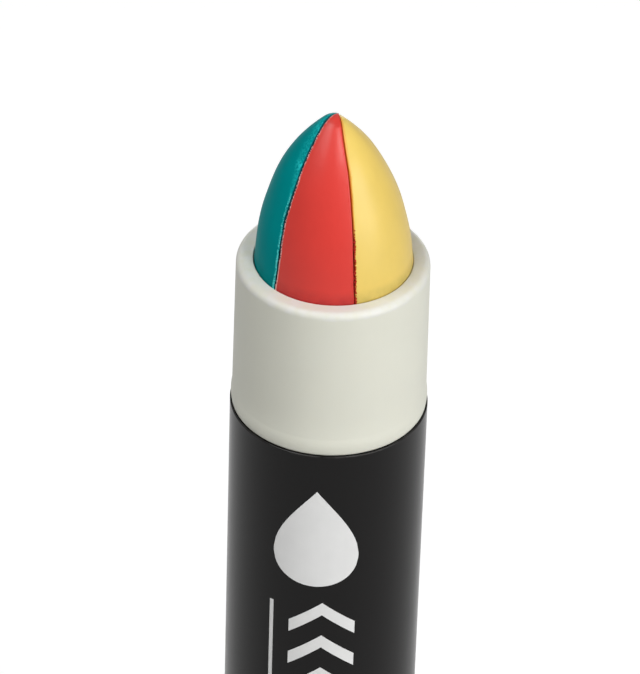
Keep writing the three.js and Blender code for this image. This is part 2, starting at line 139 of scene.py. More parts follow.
def solid(name, loops, around=False, masks=None):
    """A surface from an array of loops: loop, point, coordinate. Around joins the last loop to
    the first, and otherwise the two ends are closed."""
    count, size = loops.shape[:2]
    index = np.arange(count * size).reshape(count, size)
    here, there = (index, np.roll(index, -1, axis=0)) if around else (index[:-1], index[1:])
    quads = np.stack([here, np.roll(here, -1, axis=1), np.roll(there, -1, axis=1), there], axis=-1)
    faces = quads.reshape(-1, 4).tolist()
    if not around:
        faces += [index[0][::-1].tolist(), index[-1].tolist()]
    return surface(name, loops.reshape(-1, 3), faces, masks)


# %% [markdown]
# A moulded or turned edge is never sharp, and its small radius is what catches the light. So an
# outline is written as corners with a fillet each, and the helper turns each corner into an arc,
# with a point on each side that keeps the flat next to it looking flat. Points on an arc are
# marked as edge, so that a finish can wear them.

# %% Helper: outlines with rounded corners, turned about the axis
ARC_STEPS = 6
SUPPORT_SHARE = 0.3


def outline(corners):
    """Rounds a closed outline of (radius, height, fillet) corners. Returns rows of radius,
    height and edge mask."""
    rows = []
    for i, (radius, height, fillet) in enumerate(corners):
        here = np.array([radius, height])
        if not fillet:
            rows.append([radius, height, 0.0])
            continue
        before = np.array(corners[i - 1][:2]) - here
        after = np.array(corners[(i + 1) % len(corners)][:2]) - here
        a, b = before / np.linalg.norm(before), after / np.linalg.norm(after)
        half = math.acos(float(np.clip(a @ b, -1, 1))) / 2
        reach = fillet / math.tan(half)
        centre = here + (a + b) / np.linalg.norm(a + b) * fillet / math.sin(half)
        first = here + a * reach - centre
        turn = (math.pi - 2 * half) * math.copysign(1, b[0] * a[1] - b[1] * a[0])
        rows.append([*(here + a * reach * (1 + SUPPORT_SHARE)), 0.0])
        for k in range(ARC_STEPS + 1):
            c, s = math.cos(turn * k / ARC_STEPS), math.sin(turn * k / ARC_STEPS)
            rows.append([centre[0] + c * first[0] - s * first[1],
                         centre[1] + s * first[0] + c * first[1], 1.0])
        rows.append([*(here + b * reach * (1 + SUPPORT_SHARE)), 0.0])
    return np.array(rows)


def spaced(rows, step, fine_step=None, fine_from=math.inf):
    """The same outline with points added so that none of its sides is longer than step, or than
    fine_step where it runs outside a radius."""
    full = []
    for here, there in zip(rows, np.roll(rows, -1, axis=0)):
        longest = fine_step if min(here[0], there[0]) >= fine_from else step
        parts = max(1, math.ceil(np.linalg.norm(there[:2] - here[:2]) / longest - TINY))
        for k in range(parts):
            row = here + (there - here) * k / parts
            row[2] = here[2] if k == 0 else min(here[2], there[2])
            full.append(row)
    return np.array(full)


def turned(name, rows, sides, reshape=None):
    """Turns an outline about the axis. Reshape may change the radius by height and angle."""
    angle = np.repeat(np.arange(sides)[:, None] * 2 * np.pi / sides, len(rows), axis=1)
    radius, height, edge = (np.repeat(column[None], sides, axis=0) for column in rows.T)
    if reshape:
        radius = reshape(radius, height, angle)
    loops = np.stack([radius * np.cos(angle), radius * np.sin(angle), height], axis=-1)
    return solid(name, loops, around=True, masks={"edge": edge})


def smooth_step(low, high, value):
    """0 below low, 1 above high, and a soft ramp between."""
    t = np.clip((value - low) / (high - low), 0, 1)
    return t * t * (3 - 2 * t)


# %% [markdown]
# The paint stick is pressed from three waxes and pointed like a pencil. Its outline is a long arc
# that runs into a round nose, as in the construction model. The real stick also leans to the left
# as it rises and is worn a little unevenly by hand, its foot fills the mouth of the neck, and near
# the point a settled colour lies a little behind its neighbour. Short formulas give all of this,
# so the stick can be asked for its radius at any height.

# %% The outline of the paint stick
NOSE_RADIUS = 2.05
SETTLE_FROM = 14.0
MOUTH_FILL, MOUTH_FILL_ENDS = 0.1, (-0.2, 1.0)
STICK_FOOT_RADIUS = 6.95
STICK_BORE_RADIUS = 3.4
SHOULDER_CHAMFER = 0.18
RISE_GRID_SIZE = 2000

tip_rise = tip_height - rim_height
nose_rise = tip_rise - NOSE_RADIUS
flank_square = stick_radius**2 + nose_rise**2 - NOSE_RADIUS**2
flank_radius = flank_square / (2 * (stick_radius - NOSE_RADIUS))
flank_centre = stick_radius - flank_radius
flank_turn = math.atan2(nose_rise, -flank_centre)
rise_grid = tip_rise * (1 - np.linspace(1, 0, RISE_GRID_SIZE)**2)


def soft_curve(*points):
    """A function that runs softly through a few (place, value) points and is level at each."""
    places, values = (np.array(column, float) for column in zip(*points))

    def value_at(place):
        i = np.clip(np.searchsorted(places, place, side="right") - 1, 0, len(places) - 2)
        share = np.clip((place - places[i]) / (places[i + 1] - places[i]), 0, 1)
        return values[i] + (values[i + 1] - values[i]) * (1 - np.cos(np.pi * share)) / 2
    return value_at


# How far the flank stands out of its arc where it is worn less, at a rise above the rim
unworn = soft_curve((0.0, 0.0), (6.0, -0.06), (13.8, 0.06), (tip_rise, 0.0))


def radius_at(rise, settled=0.0):
    """Radius of the stick at a rise above the rim, and how far it has settled at the point."""
    flank = flank_centre + np.sqrt(flank_radius**2 - np.clip(rise, 0, flank_radius)**2)
    nose = np.sqrt(np.clip(NOSE_RADIUS**2 - (rise - nose_rise)**2, 0, None))
    whole = np.where(rise < flank_radius * math.sin(flank_turn), flank, nose)
    whole = whole + unworn(rise) + MOUTH_FILL * (1 - smooth_step(*MOUTH_FILL_ENDS, rise))
    return np.clip(whole - settled * smooth_step(SETTLE_FROM, tip_rise, rise), 0, None)


def rise_at(distance, settled=0.0):
    """Rise of the pointed end's surface above the rim, at a distance from the stick's axis."""
    return np.interp(-distance, -radius_at(rise_grid, settled), rise_grid)


# How far the stick's middle stands to the right at a rise above the rim
lean_at = soft_curve((0.5, 0.03), (7.0, -0.14), (13.0, -0.34), (tip_rise, -0.32))
print(f"flank arc {flank_radius:.1f} mm, nose {NOSE_RADIUS} mm")

# %% [markdown]
# Where two colours meet, the wax has shrunk back into a fine groove with crumbly lips. Noise in a
# material could fake that, but a groove is a shape: it holds a shadow at any angle. So each colour
# is its own closed wedge, and the groove is the room between them. A seam runs from a line just
# behind the axis out to the surface and wanders as it rises. It is described by its direction, how
# far each lip stands back from it, how ragged each lip is low down and high up, and its wander.
# Side 1 is the lip to its left as seen from the axis, side -1 the other.

# %% The three seams
SEED = 11
SEAM_MEETING_BACK = 0.75
SEAM_HALF_GAP = 0.012
LEAST_OPENING = 0.02
RAGGED_FADE = 2.0, 11.0
RAGGED_HEIGHTS, RAGGED_STEP = (80.0, 150.0), 0.13
QUICK_PART, SLOW_PART, SLOW_STEPS = 0.55, 1.3, 6
rng = np.random.default_rng(SEED)
noise_heights = np.arange(*RAGGED_HEIGHTS, RAGGED_STEP)


def ragged_line():
    """A random line along the height, made of a slow and a quick part."""
    quick = rng.normal(size=len(noise_heights))
    slow = np.convolve(rng.normal(size=len(noise_heights)), np.ones(SLOW_STEPS) / SLOW_STEPS,
                       mode="same")
    return QUICK_PART * quick + SLOW_PART * slow


class Seam:
    """One seam between two wedges, and its two lips."""

    def __init__(self, degrees, openings, ragged, *wander):
        angle = math.radians(degrees)
        self.along = np.array([math.cos(angle), math.sin(angle)])
        self.left = np.array([-math.sin(angle), math.cos(angle)])
        self.openings, self.ragged, self.wander = openings, ragged, soft_curve(*wander)
        self.lines = {side: (ragged_line(), ragged_line()) for side in openings}

    def shift(self, height):
        """How far the seam stands to its left of the straight line, at a height."""
        return self.wander(height - rim_height)

    def lip(self, height, side):
        """How far the lip of one side stands back from the seam, and how proud its burr is."""
        low, high = self.ragged[side]
        rough = low + (high - low) * smooth_step(*RAGGED_FADE, height - rim_height)
        line, burr = (np.interp(height, noise_heights, values) for values in self.lines[side])
        opening = np.clip(self.openings[side] + rough * line, LEAST_OPENING, None)
        return opening, np.clip(burr, 0, None)


seams = {
    "teal_red": Seam(
        -131.5, {1: 0.12, -1: 0.20}, {1: (0.04, 0.015), -1: (0.06, 0.02)},
        (-1.5, -0.17), (0.3, -0.17), (1.9, -0.02), (4.2, 0.035), (6.3, -0.06), (8.3, -0.14),
        (10.3, -0.02), (12.2, 0.005), (13.9, -0.1), (17.2, -0.155), (18.2, -0.1)),
    "red_yellow": Seam(
        -74.8, {1: 0.10, -1: 0.07}, {1: (0.07, 0.012), -1: (0.025, 0.008)},
        (0.2, -0.015), (2.7, -0.095), (5.0, -0.09), (9.3, -0.04), (13.1, -0.005), (16.6, -0.1),
        (18.1, -0.045)),
    "yellow_teal": Seam(
        76.8, {1: 0.09, -1: 0.08}, {1: (0.04, 0.02), -1: (0.04, 0.015)},
        (0.0, 0.05), (6.0, -0.09), (14.0, 0.04)),
}
print("seams:", ", ".join(seams))

# %% [markdown]
# A wedge is lofted from level slices. Each slice is one loop: out along the first seam's wall,
# round the outer arc, back in along the second wall, and round the bore for the screw. The points
# crowd together at the two lips, where the surface rises in a small burr and then rounds down into
# the groove. Above the height where the seams meet, the slices shrink towards the meeting point
# and follow the dome, so that the stick's very point lies whole in the front wedge.

# %% Levels and spacing of a wedge's points
LIP_STEPS = np.array([0.0, 0.025, 0.055, 0.09, 0.13, 0.18, 0.24, 0.32, 0.45, 0.68, 1.05])
WALL_DEPTHS = np.array([0.09, 0.15, 0.24, 0.36, 0.55, 0.85, 1.4, 2.4])
WALL_SHARES = np.array([0.0, 0.4, 0.75])
ARC_POINTS = 44
BORE_POINTS = 8
CAP_ROWS = 16
STEP_ON_DOME = 0.14
STEP_BELOW_RIM = 0.3
LIP_ROUNDING = 0.05
LIP_ROUND_WIDTH = 0.11
BURR_PLACE, BURR_WIDTH, BURR_HEIGHT = 0.14, 0.07, 0.03
TINT_WIDENS = 9.0, 17.0
GROOVE_DEPTH = 0.5
BORE_STOPS_BELOW_RIM = 19.2
SUPPORT_ROW = 3
LEAST_STEP = 0.01


def stick_levels(top, settled):
    """Height, radius and bore radius of each slice, from the foot up to a height."""
    shoulder = carrier_top + SEAT_GAP
    bore_top = rim_height - BORE_STOPS_BELOW_RIM
    low = np.array([stick_foot, stick_foot + SUPPORT_ROW, shoulder - SUPPORT_ROW, shoulder])
    bed = np.array([shoulder, shoulder + SHOULDER_CHAMFER])
    side = np.arange(shoulder + STEP_BELOW_RIM, rim_height - STEP_BELOW_RIM / 2, STEP_BELOW_RIM)
    flank = np.arange(0, flank_radius * flank_turn, STEP_ON_DOME)
    nose = np.arange(STEP_ON_DOME, NOSE_RADIUS * math.pi / 2, STEP_ON_DOME)
    dome = rim_height + np.concatenate([
        flank_radius * np.sin(flank / flank_radius),
        nose_rise + NOSE_RADIUS * np.sin(flank_turn + nose / NOSE_RADIUS)])
    heights = np.concatenate([low, bed, side, dome])
    radii = np.concatenate([
        np.full(len(low), STICK_FOOT_RADIUS), [stick_radius - SHOULDER_CHAMFER, stick_radius],
        np.full(len(side), stick_radius), radius_at(dome - rim_height, settled)])
    closed = smooth_step(bore_top, bore_top + STICK_BORE_RADIUS / 2, heights)
    bores = STICK_BORE_RADIUS * (1 - closed)
    keep = heights < top - LEAST_STEP
    return heights[keep], radii[keep], bores[keep]


print(f"about {len(stick_levels(tip_height, 0)[0])} slices in a wedge")

# %% Helper: the wall of a seam
WANDER_COMES_IN = 1.2
FULL_WALL = 4
GROOVE_PROFILE = 1.5


def wall_edge(corner, seam, shift, radii, lean):
    """How far out along a seam the surface lies, where the seam is shifted to its left."""
    start = corner[None, :] + shift[:, None] * seam.left
    start = start - np.stack([lean, np.zeros_like(lean)], axis=1)
    along = start @ seam.along
    return -along + np.sqrt(np.clip(along**2 - (start**2).sum(axis=1) + radii**2, 0, None))


def wall_points(corner, seam, side, heights, radii, bores, lean, opening):
    """Plan places of a seam's wall, from inside to the surface, and of its lip."""
    to_bore = -(corner * (bores / STICK_BORE_RADIUS)[:, None]) @ seam.along
    centre_gap = (np.linalg.norm(corner) * bores / STICK_BORE_RADIUS)**2
    inner = to_bore + np.sqrt(np.clip(to_bore**2 - centre_gap + bores**2, 0, None))
    straight = wall_edge(corner, seam, np.zeros_like(heights), radii, lean)
    strength = np.clip(straight / WANDER_COMES_IN, 0, 1)
    shift = strength * (seam.shift(heights) + side * opening)
    edge = wall_edge(corner, seam, shift, radii, lean)
    room = np.clip((edge - inner) / FULL_WALL, 0, 1)[:, None]
    depths = WALL_DEPTHS[::-1][None, :] * room
    deepest = edge[:, None] - depths[:, :1]
    outs = np.concatenate([inner[:, None] + (deepest - inner[:, None]) * WALL_SHARES,
                           edge[:, None] - depths], axis=1)
    share = np.clip(outs / np.clip(edge, TINY, None)[:, None], 0, 1)**2
    opened = np.clip(1 - (edge[:, None] - outs) / GROOVE_DEPTH, 0, 1)**GROOVE_PROFILE
    aside = strength[:, None] * (seam.shift(heights)[:, None] * share
                                 + side * opening[:, None] * opened)
    plan = corner + outs[..., None] * seam.along + aside[..., None] * seam.left
    lip = corner + edge[:, None] * seam.along + shift[:, None] * seam.left
    return plan, lip


# %% [markdown]
# Each lip has a look: how pale its crumbs and a painted highlight make it, how much of the
# neighbour's colour and of painted shade lies on it, and how wide that tint is near the rim and
# near the point. Looks are kept as masks on the points, and a material turns them into colour
# later.

# %% Helper: the outer arc of a wedge
LIP_ROOM = 2.6
BURR_LIMIT = 2.5
TINT_FULL_WITHIN = 0.2
# A lip's paleness beside its seam, and how much paler it is painted where its burr stands proud, as
# a painted highlight.
TINT_BASE, PALE_AND_HIGHLIGHT_BY_BURR = 0.5, 0.4
# A lip's look: its paleness, partly a painted highlight, its smeared tint, partly painted shade,
# and the width of both near the rim and near the point.
Lip = namedtuple("Lip", "light smear width width_above")


def inner_shares(count):
    """Even shares of a way, without its two ends."""
    return np.linspace(0, 1, count + 2)[1:-1]


def arc_places(length):
    """Places along the arc of each slice, crowded at both lips, and how much a short arc shrinks
    the lips."""
    shrink = np.clip(length / (LIP_ROOM * LIP_STEPS[-1]), 0, 1)
    near = LIP_STEPS * shrink
    between = near[:, -1:] + (length - 2 * near[:, -1:]) * inner_shares(ARC_POINTS)
    return np.concatenate([near, between, (length - near)[:, ::-1]], axis=1), shrink


def lip_relief(distances, burrs, looks, rise):
    """How proud each place of the arc stands, and its two tints, from its distances to both
    seams."""
    proud, light, smear = np.zeros((3, *distances[0].shape))
    widens = smooth_step(*TINT_WIDENS, rise)[:, None]
    for distance, burr, look in zip(distances, burrs, looks):
        burr = np.minimum(burr, BURR_LIMIT)[:, None]
        proud -= LIP_ROUNDING * np.clip(1 - distance / LIP_ROUND_WIDTH, 0, 1)**2
        proud += BURR_HEIGHT * np.exp(-((distance - BURR_PLACE) / BURR_WIDTH)**2) * burr
        width = look.width + (look.width_above - look.width) * widens
        near_lip = 1 - smooth_step(TINT_FULL_WITHIN, 1.0, distance / width)
        # Paleness near the lip, more where the burr stands proud: partly a painted highlight.
        light += look.light * near_lip * (TINT_BASE + PALE_AND_HIGHLIGHT_BY_BURR * burr)
        # The neighbour's smeared tint, which along the red and yellow seam is also painted shade.
        smear += look.smear * near_lip
    return proud, light, smear


# %% Helper: one wedge of paint
UPPER_RISES = 4.0, 12.0
# Painted shade: the wax is darkened from just below the rim to 1.8 mm above it.
PAINTED_SHADE_FROM, PAINTED_SHADE_TO = (-0.9, -0.1), (0.0, 1.8)


def directions(points, centre):
    """The angle at which each point lies from its slice's centre."""
    return np.arctan2(points[:, 1] - centre[:, 1], points[:, 0] - centre[:, 0])


def points_round(centre, radius, angle):
    """Plan places at a radius and an angle from each slice's centre."""
    way = np.stack([np.cos(angle), np.sin(angle)], axis=-1)
    return centre[:, None, :] + radius[..., None] * way


def cap_loops(last, arc, corner, height, tip_lean, settled):
    """Shrinks the last slice towards the corner, following the dome."""
    edge = np.concatenate([np.repeat(last[arc][:1], arc.start, axis=0), last[arc],
                           np.repeat(last[arc][-1:], len(last) - arc.stop, axis=0)])
    out = np.linalg.norm(last - corner, axis=1) / np.clip(
        np.linalg.norm(edge - corner, axis=1), TINY, None)
    out[arc] = 1
    out = np.clip(out, 0, 1)
    loops = []
    for share in np.linspace(1, 0, CAP_ROWS + 1)[1:]:
        on_dome = corner + share * (edge - corner)
        distance = np.hypot(on_dome[:, 0] - tip_lean, on_dome[:, 1])
        top = rim_height + rise_at(distance, settled)
        loops.append(np.column_stack([corner + share * (last - corner),
                                      height + (top - height) * out]))
    return loops


def wedge(name, first, second, looks, settled=0.0):
    """A closed wedge from the left side of one seam round to the right side of the next."""
    turn_first = math.atan2(first.along[1], first.along[0])
    turn_second = math.atan2(second.along[1], second.along[0])
    half = ((turn_second - turn_first) % (2 * math.pi)) / 2
    middle = turn_first + half
    corner = (np.array([0, SEAM_MEETING_BACK])
              + np.array([math.cos(middle), math.sin(middle)]) * SEAM_HALF_GAP / math.sin(half))
    tip_lean = float(lean_at(tip_rise))
    cap_distance = math.hypot(corner[0] - tip_lean, corner[1])
    cap_height = rim_height + float(rise_at(cap_distance, settled))
    heights, radii, bores = stick_levels(cap_height, settled)
    heights = np.append(heights, cap_height)
    radii, bores = np.append(radii, cap_distance), np.append(bores, 0.0)
    lean = lean_at(heights - rim_height)
    centre = np.stack([lean, np.zeros_like(lean)], axis=1)

    walls, turns, burrs = [], [], []
    for seam, side in ((first, 1), (second, -1)):
        opening, burr = seam.lip(heights, side)
        wall, lip = wall_points(corner, seam, side, heights, radii, bores, lean, opening)
        walls.append(wall)
        turns.append(directions(lip, centre))
        burrs.append(burr)

    sweep = (turns[1] - turns[0]) % (2 * np.pi)
    length = np.clip(radii * sweep, TINY, None)[:, None]
    place, shrink = arc_places(length)
    proud, light, smear = lip_relief((place, length - place), burrs, looks, heights - rim_height)
    angle = turns[0][:, None] + place / np.clip(radii, TINY, None)[:, None]
    outer = points_round(centre, radii[:, None] + proud * shrink, angle)

    bore_centre = corner * (1 - bores / STICK_BORE_RADIUS)[:, None]
    from_turn, to_turn = (directions(wall[:, 0], bore_centre) for wall in walls[::-1])
    back = -((from_turn - to_turn) % (2 * np.pi))
    bore_angle = from_turn[:, None] + back[:, None] * inner_shares(BORE_POINTS)
    bore = points_round(bore_centre, bores[:, None], bore_angle)

    plan = np.concatenate([walls[0], outer, walls[1][:, ::-1], bore], axis=1)
    level = np.repeat(heights[:, None], plan.shape[1], axis=1)
    arc = slice(walls[0].shape[1], walls[0].shape[1] + outer.shape[1])
    loops = np.concatenate([np.concatenate([plan, level[..., None]], axis=-1),
                            cap_loops(plan[-1], arc, corner, cap_height, tip_lean, settled)])
    masks = {"lip_pale_and_highlight": light, "lip_smear_and_shade": smear}
    for mask, values in masks.items():
        masks[mask] = np.zeros(loops.shape[:2])
        masks[mask][:, arc] = np.concatenate([values, np.repeat(values[-1:], CAP_ROWS, axis=0)])
    # The walls take the groove colours, which are painted shade.
    masks["wall"] = np.ones(loops.shape[:2])
    masks["wall"][:, arc] = 0
    rise = loops[:, :, 2] - rim_height
    masks["upper"] = smooth_step(*UPPER_RISES, rise)
    # Where the painted shade at the rim lies.
    masks["foot"] = smooth_step(*PAINTED_SHADE_FROM, rise) * (1 - smooth_step(*PAINTED_SHADE_TO, rise))
    return solid(name, loops, masks=masks)


# %% [markdown]
# A lip is paler than its wax where tiny crumbs scatter the light, and paler still where its burr
# stands proud, as a painted highlight. The teal's pale lip against the red widens near the point,
# painted light on the teal's top. A lip may be smeared with the neighbour's colour, and along the
# red and yellow seam that smear is darkened as painted shade. The yellow has settled a little at
# the point, so the red stands proud there.

# %% The three wedges
wedges = {
    # The red's lip against the yellow and the yellow's lip against the red are smeared darker,
    # partly painted shade.
    "red": wedge("red_wax", seams["teal_red"], seams["red_yellow"],
                 (Lip(1.1, 0.0, 0.17, 0.2), Lip(0.0, 0.55, 0.22, 0.15))),
    "yellow": wedge("yellow_wax", seams["red_yellow"], seams["yellow_teal"],
                    (Lip(0.0, 0.65, 0.1, 0.3), Lip(0.3, 0.0, 0.15, 0.15)), settled=0.25),
    # The teal's pale lip against the red widens to 1.7 mm near the point, as painted light on the
    # teal's top.
    "teal": wedge("teal_wax", seams["yellow_teal"], seams["teal_red"],
                  (Lip(0.6, 0.0, 0.16, 0.2), Lip(0.9, 0.0, 0.24, 1.7)), settled=0.05),
}
for colour, piece in wedges.items():
    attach(piece, "paint")
    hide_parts(f"{colour}_paint")

# %% [markdown]
# Loose crumbs of wax cling to the lips, most of them low down: bright ones on the teal, finer
# pinkish ones on the red beside it, and dark red ones on the yellow's edge. Each is a small ball,
# knocked out of shape and sunk a little into the surface, and all crumbs of one lip are one piece.

# %% Crumbs on the lips
CRUMB_SUNK = 0.35
CRUMB_DENTS, CRUMB_STRETCH = (0.75, 1.25), (0.7, 1.4)
CRUMBS_LOW_DOWN = 1.5
SLOPE_STEP = 0.05


def beside(seam, rise, aside):
    """A point of the stick's surface to the left of a seam, and the way out of the surface."""
    rise, corner = np.array([rise]), np.array([0, SEAM_MEETING_BACK])
    shift, lean = seam.wander(rise) + aside, lean_at(rise)
    out = wall_edge(corner, seam, shift, radius_at(rise), lean)
    plan = (corner + out[:, None] * seam.along + shift[:, None] * seam.left)[0]
    away = plan - (lean[0], 0)
    drop = float(radius_at(rise - SLOPE_STEP)[0] - radius_at(rise + SLOPE_STEP)[0])
    normal = np.array([*(away / np.linalg.norm(away)), drop / (2 * SLOPE_STEP)])
    return np.array([*plan, rim_height + rise[0]]), normal / np.linalg.norm(normal)


def crumbs(name, seam, asides, rises, sizes, count, slot):
    """Lumps beside a seam, spread over a range of places aside and of rises."""
    ball = bmesh.new()
    bmesh.ops.create_icosphere(ball, subdivisions=2, radius=1.0)
    shape = np.array([corner.co for corner in ball.verts])
    sides = np.array([[corner.index for corner in face.verts] for face in ball.faces])
    ball.free()
    points, faces = [], []
    for i in range(count):
        rise = rises[0] + (rises[1] - rises[0]) * rng.random()**CRUMBS_LOW_DOWN
        place, out = beside(seam, rise, rng.uniform(*asides))
        size = rng.uniform(*sizes)
        dents, stretch = rng.uniform(*CRUMB_DENTS, (len(shape), 1)), rng.uniform(*CRUMB_STRETCH, 3)
        turn = np.linalg.qr(rng.normal(size=(3, 3)))[0]
        points.append(shape * dents * stretch * size @ turn + place - out * size * CRUMB_SUNK)
        faces.append(sides + i * len(shape))
    piece = surface(name, np.concatenate(points), np.concatenate(faces).tolist())
    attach(piece, "paint")
    return piece


crumb_pieces = [crumbs(name, seams[seam], *values) for name, seam, *values in (
    ("teal_crumbs", "teal_red", (-0.4, -0.2), (-0.3, 11.0), (0.025, 0.065), 260, "teal_paint"),
    ("pink_crumbs", "teal_red", (0.09, 0.17), (-0.3, 17.0), (0.025, 0.055), 260, "red_paint"),
    ("dark_crumbs", "red_yellow", (0.0, 0.2), (-0.3, 8.5), (0.035, 0.085), 150, "red_paint"))]

# %% [markdown]
# The neck and the barrel under the black sleeve are one off-white moulding, turned from an
# outline: a flat rim with a soft outer corner, a side that widens a little towards its foot, and a
# low round bead where the sleeve stops. The bore narrows slightly at the mouth. Three keyways for
# the carrier run up from the foot, and as a keyway is only a wider radius over a small angle, the
# turned surface is reshaped there. The flat rim counts as an edge, so it is painted paler and
# whiter, partly rubbed by the cap and partly painted light on its top.

# %% The off-white moulding
BORE_RADIUS = 8.65
MOUTH_RADIUS = 8.57
MOUTH_DEPTH, MOUTH_TAPER = 3.0, 1.5
BARREL_WALL = 1.3
RIM_RADIUS = 10.42
NECK_FOOT_RADIUS = 10.58
BEAD_HEIGHT, BEAD_STEPS, BEAD_STARTS = 2.1, 16, 0.06
RIM_FILLET, MOUTH_FILLET, TAPER_FILLET = 0.7, 0.14, 0.5
FOOT_FILLET, NECK_FOOT_FILLET = 0.25, 0.05
KEYS = 3
KEYWAY_RADIUS = 9.2
KEYWAY_WIDTH = 2.6
KEYWAY_TOP_BELOW_RIM = 7.8
BARREL_SIDES, BARREL_STEP = 288, 3.0
CLOSE_BY = 0.02

neck_foot = sleeve_top + SEAT_GAP
keyway_top = rim_height - KEYWAY_TOP_BELOW_RIM


def from_nearest(angle, count):
    """How far an angle lies from the nearest of so many even places round the axis."""
    pitch = 2 * math.pi / count
    return (angle + pitch / 2) % pitch - pitch / 2


def cut_keyways(radius, height, angle):
    """Widens the bore where the keyways run."""
    aside = from_nearest(angle, KEYS)
    inside = (radius < BORE_RADIUS + CLOSE_BY) & (height < keyway_top)
    inside &= np.abs(aside) < math.asin(KEYWAY_WIDTH / 2 / BORE_RADIUS)
    return np.where(inside, KEYWAY_RADIUS / np.cos(aside), radius)


bead = [(NECK_FOOT_RADIUS + (bead_radius - NECK_FOOT_RADIUS) * math.sin(math.pi * share),
         neck_foot + BEAD_HEIGHT * share, 0) for share in np.linspace(BEAD_STARTS, 1, BEAD_STEPS)]
barrel_outline = spaced(outline([
    (BORE_RADIUS, barrel_foot, FOOT_FILLET),
    (BORE_RADIUS + BARREL_WALL, barrel_foot, FOOT_FILLET),
    (BORE_RADIUS + BARREL_WALL, neck_foot, 0),
    (NECK_FOOT_RADIUS - NECK_FOOT_FILLET, neck_foot, NECK_FOOT_FILLET),
    *bead,
    (RIM_RADIUS, rim_height, RIM_FILLET),
    (MOUTH_RADIUS, rim_height, MOUTH_FILLET),
    (MOUTH_RADIUS, rim_height - MOUTH_DEPTH, TAPER_FILLET),
    (BORE_RADIUS, rim_height - MOUTH_DEPTH - MOUTH_TAPER, TAPER_FILLET),
    (BORE_RADIUS, keyway_top + CLOSE_BY, 0),
    (BORE_RADIUS, keyway_top - CLOSE_BY, 0),
]), BARREL_STEP)
# The flat rim is marked as edge, so it is painted paler and whiter: partly rubbed by the cap,
# partly painted light on its top.
barrel_outline[barrel_outline[:, 1] > rim_height - CLOSE_BY, 2] = 1
moulding = turned("barrel_moulding", barrel_outline, BARREL_SIDES, cut_keyways)
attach(moulding, "barrel")
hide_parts("barrel")

# %% [markdown]
# The black sleeve is a thin tube slipped over the barrel, with a small round edge at its cut ends.
# It needs nothing but its outline, and looks real through its satin finish, which comes later.

# %% The black sleeve
SLEEVE_WALL = 0.8
SLEEVE_EDGE, SLEEVE_INNER_EDGE = 0.13, 0.1
SLEEVE_SIDES = 256
sleeve = turned("sleeve_tube", spaced(outline([
    (sleeve_radius - SLEEVE_WALL, sleeve_foot, SLEEVE_INNER_EDGE),
    (sleeve_radius, sleeve_foot, SLEEVE_EDGE),
    (sleeve_radius, sleeve_top, SLEEVE_EDGE),
    (sleeve_radius - SLEEVE_WALL, sleeve_top, SLEEVE_INNER_EDGE),
]), BARREL_STEP), SLEEVE_SIDES)
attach(sleeve, "barrel")
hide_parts("outer_sleeve")

# %% [markdown]
# A marker is printed in white on its sleeve. This one carries a plain paint drop, and below it
# chevrons that point to the tip and a thin rule beside them, all of them common signs. Screen ink
# is a very thin layer, so each mark is a thin solid bent round the sleeve, made from columns whose
# lower and upper ends are known.

# %% Helper: a printed mark bent round the sleeve
INK_PROUD, INK_SUNK = 0.02, 0.03
COLUMN_STEP, LEAST_COLUMNS = 0.2, 8


def columns_of(width):
    """Places of the columns across a mark."""
    return np.linspace(-width / 2, width / 2, max(LEAST_COLUMNS, int(width / COLUMN_STEP)))


def printed(name, columns, low, high, middle_degrees, middle_height):
    """A mark from its columns and their lower and upper ends. Zero degrees is the front."""
    angle = math.radians(middle_degrees - 90) + columns / sleeve_radius
    level = np.full(len(columns), middle_height)
    inner, outer = sleeve_radius - INK_SUNK, sleeve_radius + INK_PROUD
    corners = [(inner, low), (outer, low), (outer, high), (inner, high)]
    loops = np.stack([
        np.stack([radius * np.cos(angle), radius * np.sin(angle), level + end], axis=-1)
        for radius, end in corners], axis=1)
    mark = solid(name, loops)
    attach(mark, "barrel")
    return mark


# %% [markdown]
# The drop's outline is one formula: a circle whose width is drawn in towards the top. The
# chevrons and the rule are straight lines.

# %% The printed marks
PRINT_DEGREES = -5.0
DROP_HEIGHT, DROP_WIDTH, DROP_POINTEDNESS = 13.2, 9.6, 1.15
DROP_MIDDLE_BELOW_TOP = 11.4
DROP_POINTS, DROP_TRIM = 80, 0.02
CHEVRONS = 9
CHEVRON_WIDTH, CHEVRON_RISE, CHEVRON_STROKE, CHEVRON_PITCH = 7.4, 2.9, 1.7, 4.6
FIRST_CHEVRON_BELOW_TOP = 22.6
RULE_DEGREES, RULE_WIDTH = -31.0, 0.45

turn = np.linspace(0, math.pi, DROP_POINTS)
half_width = np.sin(turn) * np.sin(turn / 2)**DROP_POINTEDNESS
half_width *= DROP_WIDTH / 2 / half_width.max()
drop_line = DROP_HEIGHT / 2 * np.cos(turn)
widest = int(half_width.argmax())
across = columns_of(DROP_WIDTH - DROP_TRIM)
drop_low = np.interp(np.abs(across), half_width[widest:][::-1], drop_line[widest:][::-1])
drop_high = np.interp(np.abs(across), half_width[:widest + 1], drop_line[:widest + 1])
marks = [printed("drop_mark", across, drop_low, drop_high, PRINT_DEGREES,
                 sleeve_top - DROP_MIDDLE_BELOW_TOP)]

